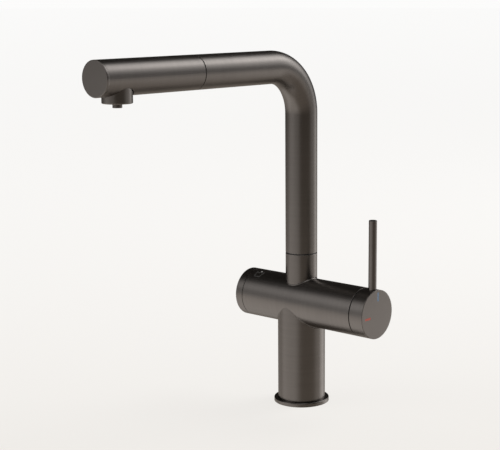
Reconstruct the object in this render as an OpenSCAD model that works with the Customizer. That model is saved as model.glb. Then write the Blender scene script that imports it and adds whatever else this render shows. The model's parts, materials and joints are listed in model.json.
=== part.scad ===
// Filter kitchen mixer tap: a column with a crossbar, a lever at one end of the bar for mixed water,
// a twist knob at the other end for filtered water, and a swivelling spout with a pull-out spray.
// Millimetres. Z is up, the deck is at z = 0 and the column stands on the origin.
// The spout points along -Y, the lever is at the +X end of the crossbar and the filter knob at the -X end.

/* [Column and ring] */
// Diameter of the upright column
column_d = 48; // [46:0.5:52]
// Diameter of the hollow inside the column
column_bore_d = 40; // [37:0.5:41]
// Diameter of the ring between the column and the deck
ring_d = 56; // [55:0.5:66]
// Height of that ring
ring_h = 4; // [3.5:0.25:7]

/* [Crossbar] */
// Diameter of the crossbar
crossbar_d = 48.6; // [48:0.2:54]
// Height of the crossbar's axis above the deck
crossbar_z = 105; // [96:1:130]
// From the column's axis to the end face of the lever cap
cap_face_x = 96; // [95:0.5:104]
// Length of the lever cap
cap_l = 15.4; // [15:0.1:18]
// From the column's axis to the end face of the filter knob
knob_face_x = 68.4; // [68:0.2:76]
// Length of the filter knob
knob_l = 8.4; // [8:0.1:10]
// Open joint left between parts that turn or slide apart
seam = 1; // [0.8:0.05:1.4]
// The thinner joint left beside the filter knob
knob_seam = 0.5; // [0.4:0.05:0.8]

/* [Lever] */
// Diameter of the lever rod
lever_d = 8; // [7:0.25:9]
// From the crossbar's axis to the top of the lever
lever_l = 92.3; // [70:0.1:140]
// From the cap's end face to the lever's axis
lever_inset = 5.8; // [5.6:0.1:6.5]

/* [Spout] */
// Outer diameter of the neck and the spout tube
tube_d = 32; // [31.5:0.25:34]
// Wall of the spout tube
tube_wall = 1.6; // [1.2:0.1:1.8]
// Height of the neck's top face
neck_top_z = 154.5; // [150:0.5:170]
// Height of the spout's level run, at its axis
spout_z = 342.5; // [320:0.5:420]
// Radius of the bend, at the tube's axis
bend_r = 47; // [40:0.5:60]
// From the column's axis to the joint between spout and spray
spray_joint_y = 149.9; // [140:0.1:190]
// How far the spout turns to each side
swivel_half = 75; // [30:5:80]

/* [Spray] */
// Length of the spray from that joint to its end face
spray_l = 116.8; // [112:0.1:140]
// From the spray's end face to the outlet's axis
outlet_inset = 24.4; // [22:0.1:30]
// Diameter of the outlet housing
outlet_d = 26.8; // [25:0.1:27]
// From the spout's axis down to the outlet housing's lower face
outlet_drop = 22; // [20:0.25:26]
// Diameter of the filtered-water nozzle
nozzle_d = 8.4; // [7:0.1:9]
// How far the nozzle stands below the outlet housing
nozzle_stand = 3.7; // [2:0.1:6]

/* [Hose] */
// Outer diameter of the pull-out hose
hose_d = 12; // [11:0.1:12]
// Bore of the hose for mixed water
hose_main_d = 5.8; // [4:0.1:5.8]
// Bore of the hose for filtered water
hose_filter_d = 2.6; // [2:0.1:2.8]

/* [Deck fixing] */
// Outer diameter of the threaded shank
shank_d = 33; // [33:0.1:34]
// Bore of the shank
shank_bore_d = 29; // [29:0.1:30]
// How far the shank reaches below the deck
shank_drop = 55; // [50:1:90]
// Thickness of the deck that the nut is run up to
deck_t = 20; // [8:0.5:22]

/* [Valves] */
// Diameter of the mixing cartridge
cartridge_d = 35; // [34.8:0.1:35.4]
// Diameter of the filter valve's spindle
filter_spindle_d = 8; // [7:0.1:8.4]

/* [Hidden] */

$fn = 96;
// Overrun of every cut past the face that it leaves
over = 1;
// Clearance of a part that slides or turns in another
run_fit = 0.05;
// Clearance of a part that is fixed in another
seat_fit = 0.05;
// Open gap left between flat faces that move past each other
face_gap = 0.1;
// Gap between ends of hose that move apart
hose_gap = 0.3;

// Colours, as the photograph shows the outside and as such parts are made inside
gunmetal = "#5b544e";
brass_tone = "#b08d4a";
steel_tone = "#a9abad";
rubber_tone = "#1d1d1e";
pom_tone = "#d9d8d2";
dark_pom_tone = "#2b2a29";
ceramic_tone = "#e9e4d6";
hose_tone = "#6d6e70";
cold_tone = "#3f6f9e";
hot_tone = "#c23a2b";

// Crossbar
bar_right_x = cap_face_x - cap_l - seam;
bar_left_x = knob_face_x - knob_l - knob_seam;
edge_r = 0.4;
web_drop = 3;
web_z = crossbar_z - crossbar_d / 2 - web_drop;

// Ring under the column and its seal
ring_edge_r = 0.9;
ring_wall = 7;
ring_bore_d = ring_d - 2 * ring_wall;
seal_inset = 3;
seal_groove_d = ring_d - 2 * seal_inset;
seal_w = 3;
seal_h = 1.6;

// Inlet block, its ports and the pipes above it
block_clear = 0.1;
block_d = column_bore_d - 2 * block_clear;
block_z = 1;
shank_seat_l = 10;
port_z = block_z + shank_seat_l;
port_d = 7;
port_l = 8;
port_ring_r = 10.6;
pipe_d = 6;
pipe_bore_d = 4.2;
pipe_ring_r = 13;
pipe_seat_l = 6;
block_top_z = port_z + port_l + pipe_seat_l;
port_count = 5;
port_step = 360 / port_count;
port_overlap = 1;
pipe_socket_l = 8;
way_d = 4.2;

// Hose and its two bores; the filtered-water bore lies on the outer side of the bend
hose_way_d = hose_d + 2 * hose_gap;
hose_main_shift = -1.9;
hose_filter_shift = 3.4;
hose_recess = 2;
hose_low_z = hose_recess - shank_drop;

// Fixing below the deck
washer_clear = 0.5;
washer_bore_d = shank_d + 2 * washer_clear;
washer_d = 48;
rubber_t = 3;
washer_t = 1.5;
nut_d = 46;
nut_h = 10;
nut_grip_d = 8;
nut_grips = 6;
clamp_screw_d = 4;
clamp_screw_r = 19.8;
clamp_screw_l = 16;
clamp_head_d = 6;
clamp_head_l = 3;
shank_chamfer = 1;
nut_z = -deck_t - rubber_t - washer_t - nut_h;

// Mixing cartridge, counted along +X from the floor of its bore
mix_floor_x = 24;
cartridge_bore_d = cartridge_d + 4 * seat_fit;
cartridge_base_l = 6;
cartridge_wall = 1.6;
disc_t = 4.5;
carrier_l = 6;
disc_inner_clear = 0.4;
housing_shoulder_l = 28;
housing_neck_l = 8;
housing_neck_d = 26;
spindle_d = 12;
spindle_square = 8;
spindle_tip_inset = 5;
spindle_tip_x = cap_face_x - spindle_tip_inset;
nut_thread_d = 40.8;
cartridge_nut_l = 10;
nut_slot_w = 5;
nut_slot_l = 3;
nut_slots = 4;
mixed_port_r = 11;
port_seal_d = 8;
port_seal_bore_d = 5;
port_seal_t = 1.2;
disc_pocket_in_r = 9.4;
disc_pocket_out_r = 14;
disc_pocket_sweep = 150;
disc_pocket_l = 2.2;

// Glide rings at the three seams
glide_seat_wall = 1.9;
glide_seat_d = crossbar_d - 2 * glide_seat_wall;
glide_seat_l = 2;
glide_flange_inset = 0.8;
glide_wall = 1.7;

// Lever cap
skirt_wall = 3.5;
cap_end_wall = 3.6;
hub_d = 20;
hub_inset = 1;
lever_rib_w = 13;
lever_seat_l = 4.8;
stud_d = 5;
stud_l = 10;
stud_tip_gap = 1;
lever_tip_r = 0.7;
lever_x = cap_face_x - lever_inset;
grub_d = 5;
grub_l = 6;
grub_key_d = 2.5;
grub_key_l = 2.5;

// Index marks let into the cap's face: place and size, Y and Z counted from the cap's axis
mark_w = 2.2;
mark_l = 8.8;
mark_t = 0.3;
cold_mark_y = 1.7;
cold_mark_inset = 7;
cold_mark_z = crossbar_d / 2 - cold_mark_inset;
hot_mark_inset = 9.8;
hot_mark_y = hot_mark_inset - crossbar_d / 2;
hot_mark_z = -2.2;

// Filter valve, counted along -X from the floor of its bore
filter_floor_x = 20;
filter_bore_d = 19.2;
filter_thread_d = 24;
filter_body_l = 16;
filter_thread_l = 9;
filter_hex_l = 5;
filter_hex_d = 27.6;
filter_neck_l = 3;
filter_neck_d = 16;
filter_body_d = 16;
filter_disc_d = 13.4;
filter_disc_t = 3;
filter_disc_floor = 5;
filter_carrier_l = 3;
filter_inlet_d = 6;
filter_seal_d = 12;
filter_seal_t = 1.5;
filter_port_d = 3.6;
filter_port_r = 3.4;
filter_glide_seat_d = 43;
glide_ledge = 2;
filter_recess_d = filter_glide_seat_d - 2 * glide_ledge;

// Filter knob
knob_end_wall = 2.8;
knob_hub_d = 17;
knob_hub_l = 6;
knob_socket_floor = 1;
knob_spindle_gap = 2;
knob_rib_w = 8;
knob_grub_d = 4;
knob_grub_l = 6;
knob_grub_x = 2.8;
flat_share = 0.7;

// Neck, swivel post and bush
neck_wall = 3.5;
post_seat_d = tube_d - 2 * neck_wall;
post_seat_l = 18.5;
bush_wall = 2.9;
post_d = tube_d - 2 * tube_wall - 2 * bush_wall;
post_stand = 41.5;
post_top_z = neck_top_z + post_stand;
bush_inset = 1;
bush_low_z = neck_top_z + seam + bush_inset;
bush_top_z = post_top_z - bush_inset;
stop_rise = 11;
stop_z = neck_top_z + stop_rise;
stop_screw_d = 4;
stop_pin_d = 3;
stop_groove_depth = 1.6;
stop_tip_gap = 0.3;
stop_screw_recess = 0.6;
o_ring_w = 1.8;
o_ring_depth = 1.4;
o_ring_rises = [22, 32];

// Spout tube
bore_d = tube_d - 2 * tube_wall;
tube_low_z = neck_top_z + seam;
bend_low_z = spout_z - bend_r;
tube_end_y = spray_joint_y - seam / 2;
dock_l = 31.5;
dock_wall = 1.35;
dock_out_d = bore_d - 2 * seat_fit;
dock_in_d = dock_out_d - 2 * dock_wall;

// Spray
spray_back_y = spray_joint_y + seam / 2;
spray_face_y = spray_joint_y + spray_l;
outlet_y = spray_face_y - outlet_inset;
shell_wall = 1.7;
shell_bore_d = tube_d - 2 * shell_wall;
shell_lip_l = 2;
end_cap_t = 2.5;
end_cap_spigot_l = 5;
end_cap_wall = 2;
collar_d = dock_in_d - 2 * run_fit;
collar_l = 25.4;
collar_back_y = tube_end_y - collar_l;
core_d = shell_bore_d - 4 * seat_fit;
outlet_clear = 0.3;
// Extra room behind the outlet housing in the shell's hole
outlet_slack = 0.9;
outlet_h = 18;
outlet_low_z = spout_z - outlet_drop;
outlet_top_z = outlet_low_z + outlet_h;
outlet_wall = 1.6;
outlet_lip_l = 2;
outlet_lip_w = 1.2;
outlet_edge_r = 0.9;
insert_t = 8.5;
insert_pegs_in = 10;
insert_pegs_out = 16;
insert_ring_in_share = 0.57;
insert_ring_out_share = 0.82;
jet_d = 1.2;
outlet_seal_t = 2;
outlet_seal_w = 3.6;
chamber_d = 20;
chamber_h = 3;
nozzle_bore_d = 3.4;
nozzle_head_h = 1.2;
connector_hex_d = 19.6;
connector_hex_l = 6.5;
connector_d = 16.6;
connector_l = 15.8;
connector_web = 4;
hose_tail_inset = 3.3;
hose_tail_back_y = bend_r + hose_tail_inset;
check_valve_d = 6.4;
check_valve_l = 8;
check_valve_bore_d = 3;
dock_ring_w = 2;
dock_ring_depth = 1.3;
dock_ring_inset = 8;

// Places that several parts share
function port_angle(i) = i * port_step;
function on_ring(r, a) = [r * cos(a), r * sin(a)];

// Axes that parts are built along
module along_x(x) { translate([x, 0, crossbar_z]) rotate([0, 90, 0]) children(); }
module along_minus_x(x) { translate([-x, 0, crossbar_z]) rotate([0, -90, 0]) children(); }
module along_spout(y) { translate([0, -y, spout_z]) rotate([90, 0, 0]) children(); }

// A straight drilled way between two points
module way(a, b, d) {
    v = b - a;
    l = norm(v);
    translate(a) rotate([0, acos(v[2] / l), atan2(v[1], v[0])]) cylinder(d = d, h = l);
}

// A ring of rectangular section
module ring(out_d, in_d, h) {
    difference() {
        cylinder(d = out_d, h = h);
        translate([0, 0, -over]) cylinder(d = in_d, h = h + 2 * over);
    }
}

// A disc with a rounded upper edge
module rounded_disc(d, h, r) {
    rotate_extrude() {
        square([d / 2 - r, h]);
        square([d / 2, h - r]);
        translate([d / 2 - r, h - r]) intersection() {
            circle(r = r);
            square([r, r]);
        }
    }
}

// A pin with a hexagon socket in its lower end
module grub_screw(d, l, key_d, key_l) {
    difference() {
        cylinder(d = d, h = l);
        translate([0, 0, -over]) cylinder(d = key_d, h = key_l + over, $fn = 6);
    }
}

// The spout's route: a riser from low_z, the bend, and a level run to end_y.
// The profile's +X side is the outer side of the bend.
module along_route(low_z, end_y) {
    translate([0, 0, low_z]) rotate([0, 0, 90]) linear_extrude(bend_low_z - low_z) children();
    translate([0, -bend_r, bend_low_z]) rotate([90, 0, 90]) rotate_extrude(angle = 90)
        translate([bend_r, 0]) children();
    along_spout(bend_r) rotate([0, 0, 90]) linear_extrude(end_y - bend_r) children();
}

module tube_profile() {
    difference() {
        circle(d = tube_d);
        circle(d = bore_d);
    }
}

module hose_profile() {
    difference() {
        circle(d = hose_d);
        translate([hose_main_shift, 0]) circle(d = hose_main_d);
        translate([hose_filter_shift, 0]) circle(d = hose_filter_d);
    }
}

// Body: column, crossbar and neck in one casting, with its bores and waterways
module body_casting() {
    color(gunmetal) difference() {
        union() {
            translate([0, 0, ring_h]) cylinder(d = column_d, h = crossbar_z - ring_h);
            along_x(-bar_left_x) cylinder(d = crossbar_d, h = bar_left_x + bar_right_x);
            translate([0, 0, crossbar_z]) cylinder(d = tube_d, h = neck_top_z - crossbar_z);
        }
        cylinder(d = column_bore_d, h = web_z);
        cylinder(d = hose_way_d, h = neck_top_z + over);
        translate([0, 0, neck_top_z - post_seat_l]) cylinder(d = post_seat_d, h = post_seat_l + over);
        mixing_bore();
        filter_bore();
        waterways();
    }
}

module mixing_bore() {
    nut_x = mix_floor_x + housing_shoulder_l;
    along_x(mix_floor_x) cylinder(d = cartridge_bore_d, h = bar_right_x - mix_floor_x);
    along_x(nut_x) cylinder(d = nut_thread_d, h = bar_right_x - nut_x + over);
    along_x(bar_right_x - glide_seat_l) cylinder(d = glide_seat_d, h = glide_seat_l + over);
}

module filter_bore() {
    thread_x = filter_floor_x + filter_body_l;
    recess_x = thread_x + filter_thread_l;
    along_minus_x(filter_floor_x) cylinder(d = filter_bore_d, h = filter_body_l + over);
    along_minus_x(thread_x) cylinder(d = filter_thread_d, h = filter_thread_l + over);
    along_minus_x(recess_x) cylinder(d = filter_recess_d, h = bar_left_x - recess_x + over);
    along_minus_x(bar_left_x - glide_seat_l) cylinder(d = filter_glide_seat_d, h = glide_seat_l + over);
}

// Ways from the pipe sockets in the web to the valves: mixed, hot, filtered out, filtered in, cold
module waterways() {
    tops = [crossbar_z - mixed_port_r, crossbar_z, crossbar_z, crossbar_z, crossbar_z];
    for (i = [0:port_count - 1]) {
        p = on_ring(pipe_ring_r, port_angle(i));
        q = [p[0], p[1], tops[i]];
        translate([p[0], p[1], web_z - over]) cylinder(d = pipe_d + 2 * seat_fit, h = pipe_socket_l + over);
        way([p[0], p[1], web_z], q + [0, 0, way_d / 2], way_d);
    }
    for (i = [0, 1, 4]) {
        p = on_ring(pipe_ring_r, port_angle(i));
        way([p[0], p[1], tops[i]], [mix_floor_x + over, p[1], tops[i]], way_d);
    }
    filter_out = on_ring(pipe_ring_r, port_angle(2));
    way([filter_out[0], filter_out[1], crossbar_z],
        [-filter_floor_x - over, filter_out[1], crossbar_z], way_d);
    filter_in = on_ring(pipe_ring_r, port_angle(3));
    way([filter_in[0], filter_in[1], crossbar_z], [-filter_floor_x - over, 0, crossbar_z], way_d);
}

module base_ring() {
    color(gunmetal) difference() {
        rounded_disc(ring_d, ring_h, ring_edge_r);
        translate([0, 0, -over]) cylinder(d = ring_bore_d, h = ring_h + 2 * over);
        translate([0, 0, -over]) ring(seal_groove_d + 2 * seat_fit,
            seal_groove_d - 2 * seal_w - 2 * seat_fit, seal_h + over);
    }
}

module base_seal() {
    color(rubber_tone) ring(seal_groove_d, seal_groove_d - 2 * seal_w, seal_h);
}

// Block that joins the shank to the column and carries the five hose connections
module inlet_block() {
    color(brass_tone) difference() {
        translate([0, 0, block_z]) cylinder(d = block_d, h = block_top_z - block_z);
        translate([0, 0, block_z - over]) cylinder(d = shank_d + 2 * seat_fit, h = shank_seat_l + over);
        cylinder(d = hose_way_d, h = block_top_z + over);
        for (i = [0:port_count - 1]) {
            p = on_ring(port_ring_r, port_angle(i));
            q = on_ring(pipe_ring_r, port_angle(i));
            translate([p[0], p[1], port_z - over]) cylinder(d = port_d, h = port_l + over);
            translate([q[0], q[1], port_z + port_l - port_overlap])
                cylinder(d = pipe_d + 2 * seat_fit, h = pipe_seat_l + port_overlap + over);
        }
    }
}

module riser_pipes() {
    low_z = port_z + port_l;
    color(brass_tone) for (i = [0:port_count - 1]) {
        q = on_ring(pipe_ring_r, port_angle(i));
        translate([q[0], q[1], low_z]) ring(pipe_d, pipe_bore_d, web_z + pipe_socket_l - low_z);
    }
}

module mounting_shank() {
    color(steel_tone) difference() {
        union() {
            translate([0, 0, -shank_drop])
                cylinder(d1 = shank_d - 2 * shank_chamfer, d2 = shank_d, h = shank_chamfer);
            translate([0, 0, shank_chamfer - shank_drop])
                cylinder(d = shank_d, h = shank_drop + port_z - shank_chamfer);
        }
        translate([0, 0, -shank_drop - over]) cylinder(d = shank_bore_d, h = shank_drop + port_z + 2 * over);
    }
}

module rubber_washer() {
    color(rubber_tone) translate([0, 0, -deck_t - rubber_t]) ring(washer_d, washer_bore_d, rubber_t);
}

module clamp_washer() {
    color(steel_tone) translate([0, 0, -deck_t - rubber_t - washer_t])
        ring(washer_d, washer_bore_d, washer_t);
}

module shank_nut() {
    color(brass_tone) difference() {
        translate([0, 0, nut_z]) ring(nut_d, shank_d + 2 * seat_fit, nut_h);
        for (i = [0:nut_grips - 1]) rotate(i * 360 / nut_grips + 180 / nut_grips)
            translate([(nut_d + nut_grip_d / 2) / 2, 0, nut_z - over])
                cylinder(d = nut_grip_d, h = nut_h + 2 * over);
        for (side = [-1, 1]) translate([side * clamp_screw_r, 0, nut_z - over])
            cylinder(d = clamp_screw_d + 2 * seat_fit, h = nut_h + 2 * over);
    }
}

module clamp_screws() {
    tip_z = nut_z + nut_h;
    color(steel_tone) for (side = [-1, 1]) translate([side * clamp_screw_r, 0, tip_z - clamp_screw_l]) {
        cylinder(d = clamp_screw_d, h = clamp_screw_l);
        translate([0, 0, -clamp_head_l]) difference() {
            cylinder(d = clamp_head_d, h = clamp_head_l);
            translate([0, 0, -over]) cylinder(d = clamp_head_d / 2, h = clamp_head_l / 2 + over, $fn = 6);
        }
    }
}

// The three ports that the cartridge base and the fixed disc share, as places in the plane across X
module at_mix_ports() {
    for (i = [1, 4]) translate([0, on_ring(pipe_ring_r, port_angle(i))[1]]) children();
    translate([mixed_port_r, 0]) children();
}

module cartridge_base() {
    color(dark_pom_tone) along_x(mix_floor_x) difference() {
        cylinder(d = cartridge_d, h = cartridge_base_l);
        at_mix_ports() translate([0, 0, -over]) cylinder(d = way_d, h = cartridge_base_l + 2 * over);
        at_mix_ports() translate([0, 0, -over])
            cylinder(d = port_seal_d + 2 * seat_fit, h = port_seal_t + over);
    }
}

module cartridge_seals() {
    color(rubber_tone) along_x(mix_floor_x) at_mix_ports() ring(port_seal_d, port_seal_bore_d, port_seal_t);
}

module cartridge_fixed_disc() {
    color(ceramic_tone) along_x(mix_floor_x + cartridge_base_l) difference() {
        cylinder(d = cartridge_d - 2 * cartridge_wall - disc_inner_clear, h = disc_t);
        at_mix_ports() translate([0, 0, -over]) cylinder(d = way_d, h = disc_t + 2 * over);
    }
}

module cartridge_housing() {
    inner_l = disc_t + face_gap + disc_t + carrier_l + face_gap;
    shoulder_l = housing_shoulder_l - cartridge_base_l;
    color(pom_tone) along_x(mix_floor_x + cartridge_base_l) difference() {
        union() {
            cylinder(d = cartridge_d, h = shoulder_l);
            cylinder(d = housing_neck_d, h = shoulder_l + housing_neck_l);
        }
        translate([0, 0, -over]) cylinder(d = cartridge_d - 2 * cartridge_wall, h = inner_l + over);
        cylinder(d = spindle_d + 2 * run_fit, h = shoulder_l + housing_neck_l + over);
    }
}

module cartridge_nut() {
    color(brass_tone) along_x(mix_floor_x + housing_shoulder_l) difference() {
        ring(nut_thread_d - 2 * seat_fit, housing_neck_d + 2 * seat_fit, cartridge_nut_l);
        for (i = [0:nut_slots - 1]) rotate(i * 360 / nut_slots)
            translate([nut_thread_d / 4, -nut_slot_w / 2, cartridge_nut_l - nut_slot_l])
                cube([nut_thread_d, nut_slot_w, nut_slot_l + over]);
    }
}

// Ring that keeps two metal faces apart: a seat in the body and a flange in the open joint
module glide_ring(seat_d, flange_d, joint) {
    bore = seat_d - 2 * glide_wall;
    ring(seat_d - 2 * seat_fit, bore, glide_seat_l);
    translate([0, 0, glide_seat_l]) ring(flange_d, bore, joint - face_gap);
}

module mixer_glide_ring() {
    color(dark_pom_tone) along_x(bar_right_x - glide_seat_l)
        glide_ring(glide_seat_d, crossbar_d - 2 * glide_flange_inset, seam);
}

module filter_glide_ring() {
    color(dark_pom_tone) along_minus_x(bar_left_x - glide_seat_l)
        glide_ring(filter_glide_seat_d, crossbar_d - 2 * glide_flange_inset, knob_seam);
}

module swivel_glide_ring() {
    color(dark_pom_tone) translate([0, 0, neck_top_z])
        ring(tube_d - 2 * glide_flange_inset, post_seat_d + 2 * seat_fit, seam - face_gap);
}

module filter_valve_body() {
    neck_start = filter_body_l + filter_thread_l + filter_hex_l;
    chamber_l = 2 * filter_disc_t + filter_carrier_l + 2 * face_gap;
    color(brass_tone) along_minus_x(filter_floor_x) difference() {
        union() {
            cylinder(d = filter_body_d, h = filter_body_l);
            translate([0, 0, filter_body_l])
                cylinder(d = filter_thread_d - 2 * seat_fit, h = filter_thread_l);
            translate([0, 0, filter_body_l + filter_thread_l])
                cylinder(d = filter_hex_d, h = filter_hex_l, $fn = 6);
            translate([0, 0, neck_start]) cylinder(d = filter_neck_d, h = filter_neck_l);
        }
        translate([0, 0, -over]) cylinder(d = filter_seal_d + 2 * seat_fit, h = filter_seal_t + over);
        cylinder(d = filter_inlet_d, h = filter_disc_floor + over);
        translate([0, 0, filter_disc_floor]) cylinder(d = filter_disc_d + 2 * run_fit, h = chamber_l);
        cylinder(d = filter_spindle_d + 2 * run_fit, h = neck_start + filter_neck_l + over);
        translate([0, 0, filter_disc_floor + filter_disc_t + filter_disc_t / 2]) rotate([90, 0, 0])
            cylinder(d = filter_disc_t, h = filter_body_d + 2 * over, center = true);
    }
}

module filter_valve_seal() {
    color(rubber_tone) along_minus_x(filter_floor_x) ring(filter_seal_d, filter_inlet_d, filter_seal_t);
}

module filter_fixed_disc() {
    color(ceramic_tone) along_minus_x(filter_floor_x + filter_disc_floor) difference() {
        cylinder(d = filter_disc_d - 2 * run_fit, h = filter_disc_t);
        translate([filter_port_r, 0, -over]) cylinder(d = filter_port_d, h = filter_disc_t + 2 * over);
    }
}

// Post that the spout turns on: threaded into the neck, with two O-ring grooves
// and a part-turn groove for the stop screw
module swivel_post() {
    low_z = neck_top_z - post_seat_l;
    color(brass_tone) difference() {
        union() {
            translate([0, 0, low_z])
                cylinder(d = post_seat_d - 2 * seat_fit, h = post_seat_l + seam - face_gap);
            translate([0, 0, low_z]) cylinder(d = post_d, h = post_top_z - low_z);
        }
        translate([0, 0, low_z - over]) cylinder(d = hose_way_d, h = post_top_z - low_z + 2 * over);
        for (rise = o_ring_rises) translate([0, 0, neck_top_z + rise - o_ring_w / 2])
            ring(post_d + 2 * over, post_d - 2 * o_ring_depth, o_ring_w);
        stop_groove();
    }
}

module stop_groove() {
    floor_r = post_d / 2 - stop_groove_depth;
    pin_half = asin((stop_pin_d / 2 + face_gap) / floor_r);
    half = swivel_half + pin_half;
    groove_w = stop_pin_d + 2 * face_gap;
    translate([0, 0, stop_z - groove_w / 2]) rotate([0, 0, 90 - half]) rotate_extrude(angle = 2 * half)
        translate([floor_r, 0]) square([stop_groove_depth + over, groove_w]);
}

module swivel_o_rings() {
    color(rubber_tone) for (rise = o_ring_rises) translate([0, 0, neck_top_z + rise - o_ring_w / 2])
        ring(post_d, post_d - 2 * o_ring_depth, o_ring_w);
}

module hose_body_run() {
    color(hose_tone) translate([0, 0, hose_low_z]) rotate([0, 0, 90])
        linear_extrude(post_top_z - hose_low_z) hose_profile();
}

// Lever cap: skirt, end wall, hub for the spindle and a rib that takes the lever's stud
module mixer_cap() {
    inner_d = crossbar_d - 2 * skirt_wall;
    hollow_l = cap_l - cap_end_wall;
    seat_z = crossbar_d / 2 - lever_seat_l;
    color(gunmetal) translate([cap_face_x - cap_l, 0, crossbar_z]) difference() {
        union() {
            rotate([0, 90, 0]) difference() {
                cylinder(d = crossbar_d, h = cap_l);
                translate([0, 0, -over]) cylinder(d = inner_d, h = hollow_l + over);
            }
            translate([hub_inset, 0, 0]) rotate([0, 90, 0]) cylinder(d = hub_d, h = hollow_l);
            intersection() {
                rotate([0, 90, 0]) cylinder(d = inner_d + skirt_wall, h = cap_l - edge_r);
                for (side = [0, 180]) rotate([side, 0, 0])
                    translate([hub_inset, -lever_rib_w / 2, 0])
                        cube([cap_l - 2 * hub_inset, lever_rib_w, crossbar_d / 2]);
            }
        }
        translate([0, -spindle_square / 2 - seat_fit, -spindle_square / 2 - seat_fit])
            cube([spindle_tip_x + face_gap - cap_face_x + cap_l, spindle_square + 2 * seat_fit,
                spindle_square + 2 * seat_fit]);
        translate([cap_l - lever_inset, 0, seat_z])
            cylinder(d = lever_d + 2 * seat_fit, h = lever_seat_l + over);
        translate([cap_l - lever_inset, 0, seat_z - stud_l])
            cylinder(d = stud_d + 2 * seat_fit, h = stud_l + over);
        translate([cap_l / 2, 0, -crossbar_d / 2 - over])
            cylinder(d = grub_d + 2 * seat_fit, h = crossbar_d / 2);
        for (p = [[cold_mark_y, cold_mark_z, 0], [hot_mark_y, hot_mark_z, 90]])
            translate([cap_l - mark_t, p[0], p[1]]) rotate([p[2], 0, 0])
                translate([0, -mark_w / 2, -mark_l / 2]) cube([mark_t + over, mark_w, mark_l]);
    }
}

module lever_rod() {
    seat_z = crossbar_z + crossbar_d / 2 - lever_seat_l;
    top_z = crossbar_z + lever_l;
    color(gunmetal) translate([lever_x, 0, 0]) {
        translate([0, 0, seat_z]) rounded_disc(lever_d, top_z - seat_z, lever_tip_r);
        translate([0, 0, seat_z - stud_l + stud_tip_gap]) cylinder(d = stud_d, h = stud_l - stud_tip_gap);
    }
}

module cap_grub_screw() {
    tip_z = crossbar_z - spindle_square / 2;
    color(steel_tone) translate([cap_face_x - cap_l / 2, 0, tip_z - grub_l])
        grub_screw(grub_d, grub_l, grub_key_d, grub_key_l);
}

module cartridge_spindle() {
    carrier_x = mix_floor_x + cartridge_base_l + 2 * disc_t + face_gap;
    neck_end_x = mix_floor_x + housing_shoulder_l + housing_neck_l + face_gap;
    color(brass_tone) {
        along_x(carrier_x)
            cylinder(d = cartridge_d - 2 * cartridge_wall - 2 * disc_inner_clear, h = carrier_l);
        along_x(carrier_x) cylinder(d = spindle_d, h = neck_end_x - carrier_x);
        translate([carrier_x, -spindle_square / 2, crossbar_z - spindle_square / 2])
            cube([spindle_tip_x - carrier_x, spindle_square, spindle_square]);
    }
}

module cartridge_moving_disc() {
    color(ceramic_tone) along_x(mix_floor_x + cartridge_base_l + disc_t + face_gap) difference() {
        cylinder(d = cartridge_d - 2 * cartridge_wall - 2 * disc_inner_clear, h = disc_t);
        translate([0, 0, -over]) rotate([0, 0, -disc_pocket_sweep / 2])
            rotate_extrude(angle = disc_pocket_sweep) translate([disc_pocket_in_r, 0])
                square([disc_pocket_out_r - disc_pocket_in_r, disc_pocket_l + over]);
    }
}

module index_mark(y, z, turn, tone) {
    color(tone) translate([cap_face_x - mark_t, y, crossbar_z + z]) rotate([turn, 0, 0])
        translate([0, -mark_w / 2, -mark_l / 2]) cube([mark_t, mark_w, mark_l]);
}

module cold_mark() { index_mark(cold_mark_y, cold_mark_z, 0, cold_tone); }
module hot_mark() { index_mark(hot_mark_y, hot_mark_z, 90, hot_tone); }

// Filter knob: a short cap with a hub that reaches back over the spindle
module filter_knob() {
    inner_d = crossbar_d - 2 * skirt_wall;
    hollow_l = knob_l - knob_end_wall;
    socket_l = hollow_l + knob_hub_l - knob_socket_floor;
    color(gunmetal) translate([-knob_face_x + knob_l, 0, crossbar_z]) rotate([0, -90, 0]) difference() {
        union() {
            difference() {
                cylinder(d = crossbar_d, h = knob_l);
                translate([0, 0, -over]) cylinder(d = inner_d, h = hollow_l + over);
            }
            translate([0, 0, -knob_hub_l]) cylinder(d = knob_hub_d, h = knob_hub_l + hollow_l + over);
            translate([-inner_d / 2 - over, -knob_rib_w / 2, 0])
                cube([inner_d / 2 + over, knob_rib_w, hollow_l + over]);
        }
        translate([0, 0, -knob_hub_l - over])
            cylinder(d = filter_spindle_d + 2 * seat_fit, h = socket_l + over);
        translate([-crossbar_d / 2 - over, 0, knob_grub_x]) rotate([0, 90, 0])
            cylinder(d = knob_grub_d + 2 * seat_fit, h = crossbar_d / 2 + over);
    }
}

module knob_grub_screw() {
    tip_z = crossbar_z - filter_spindle_d * flat_share / 2;
    color(steel_tone) translate([-knob_face_x + knob_l - knob_grub_x, 0, tip_z - knob_grub_l])
        grub_screw(knob_grub_d, knob_grub_l, grub_key_d * knob_grub_d / grub_d, grub_key_l);
}

// Spindle of the filter valve, with a flat on its underside for the knob's screw
module filter_spindle() {
    carrier_x = filter_floor_x + filter_disc_floor + 2 * filter_disc_t + face_gap;
    tip_x = knob_face_x - knob_end_wall - knob_spindle_gap;
    flat_x = filter_floor_x + filter_body_l + filter_thread_l + filter_hex_l + filter_neck_l;
    color(brass_tone) difference() {
        union() {
            along_minus_x(carrier_x) cylinder(d = filter_disc_d - 2 * run_fit, h = filter_carrier_l);
            along_minus_x(carrier_x) cylinder(d = filter_spindle_d, h = tip_x - carrier_x);
        }
        translate([-tip_x - over, -filter_spindle_d / 2, crossbar_z - filter_spindle_d / 2 - over])
            cube([tip_x - flat_x, filter_spindle_d, filter_spindle_d * (1 - flat_share) / 2 + over]);
    }
}

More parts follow.
